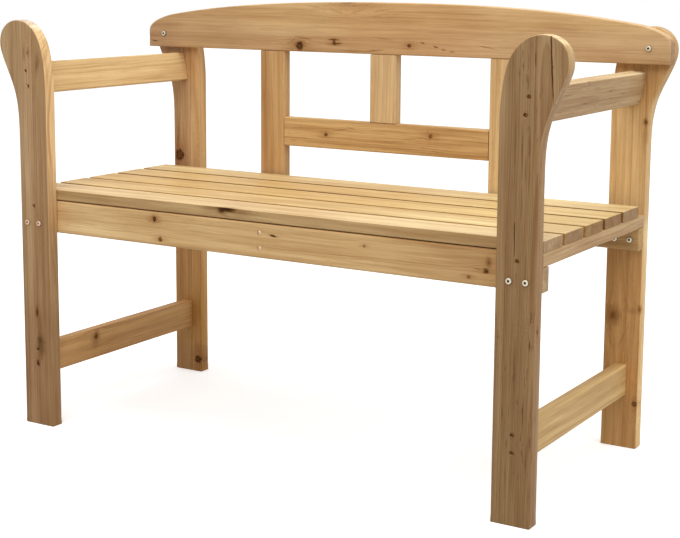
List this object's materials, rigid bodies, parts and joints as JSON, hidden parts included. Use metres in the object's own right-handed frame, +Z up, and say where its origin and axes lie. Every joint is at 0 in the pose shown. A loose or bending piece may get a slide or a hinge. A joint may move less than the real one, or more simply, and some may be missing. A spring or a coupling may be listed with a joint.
{
  "type": "garden bench",
  "caption": "Wooden garden bench with a slatted seat, plank legs with rounded tops, tilted board armrests and an open back frame under an arched top rail.",
  "frame": {"origin": "on the floor under the middle of the bench, bolt heads included", "axes": "+X to the right as seen from the front, +Y to the rear, +Z up"},
  "size_m": [1.086, 0.4722, 0.7615],
  "materials": {
    "leg_wood": "planed softwood, unvarnished, straight grain along the leg",
    "board_wood": "planed softwood, unvarnished, straight grain with small knots",
    "seat_wood": "planed softwood, pale, unvarnished",
    "bolt_steel": "bright zinc-plated button heads with hex sockets",
    "screw_steel": "dull, sunk under the surface"
  },
  "bodies": {
    "root": {"centre_upright": "board_wood", "front_apron": "board_wood", "front_left_bolt_inner": "bolt_steel", "front_left_bolt_outer": "bolt_steel", "front_left_leg": "leg_wood", "front_right_bolt_inner": "bolt_steel", "front_right_bolt_outer": "bolt_steel", "front_right_leg": "leg_wood", "left_armrest": "board_wood", "left_armrest_screw_lower_front": "screw_steel", "left_armrest_screw_lower_rear": "screw_steel", "left_armrest_screw_upper_front": "screw_steel", "left_armrest_screw_upper_rear": "screw_steel", "left_bearer": "board_wood", "left_bearer_screw_front": "screw_steel", "left_bearer_screw_rear": "screw_steel", "left_stretcher": "board_wood", "left_stretcher_screw_lower_front": "screw_steel", "left_stretcher_screw_lower_rear": "screw_steel", "left_stretcher_screw_upper_front": "screw_steel", "left_stretcher_screw_upper_rear": "screw_steel", "left_upright": "board_wood", "middle_back_rail": "board_wood", "middle_bearer": "board_wood", "middle_bearer_screw_lower_front": "screw_steel", "middle_bearer_screw_lower_rear": "screw_steel", "middle_bearer_screw_upper_front": "screw_steel", "middle_bearer_screw_upper_rear": "screw_steel", "rear_left_bolt_inner": "bolt_steel", "rear_left_bolt_outer": "bolt_steel", "rear_left_leg": "leg_wood", "rear_rail": "board_wood", "rear_right_bolt_inner": "bolt_steel", "rear_right_bolt_outer": "bolt_steel", "rear_right_leg": "leg_wood", "right_armrest": "board_wood", "right_armrest_screw_lower_front": "screw_steel", "right_armrest_screw_lower_rear": "screw_steel", "right_armrest_screw_upper_front": "screw_steel", "right_armrest_screw_upper_rear": "screw_steel", "right_bearer": "board_wood", "right_bearer_screw_front": "screw_steel", "right_bearer_screw_rear": "screw_steel", "right_stretcher": "board_wood", "right_stretcher_screw_lower_front": "screw_steel", "right_stretcher_screw_lower_rear": "screw_steel", "right_stretcher_screw_upper_front": "screw_steel", "right_stretcher_screw_upper_rear": "screw_steel", "right_upright": "board_wood", "seat_slat_1": "seat_wood", "seat_slat_2": "seat_wood", "seat_slat_3": "seat_wood", "seat_slat_4": "seat_wood", "seat_slat_5": "seat_wood", "top_rail": "board_wood", "top_rail_left_bolt": "bolt_steel", "top_rail_right_bolt": "bolt_steel"}
  },
  "joints": []
}
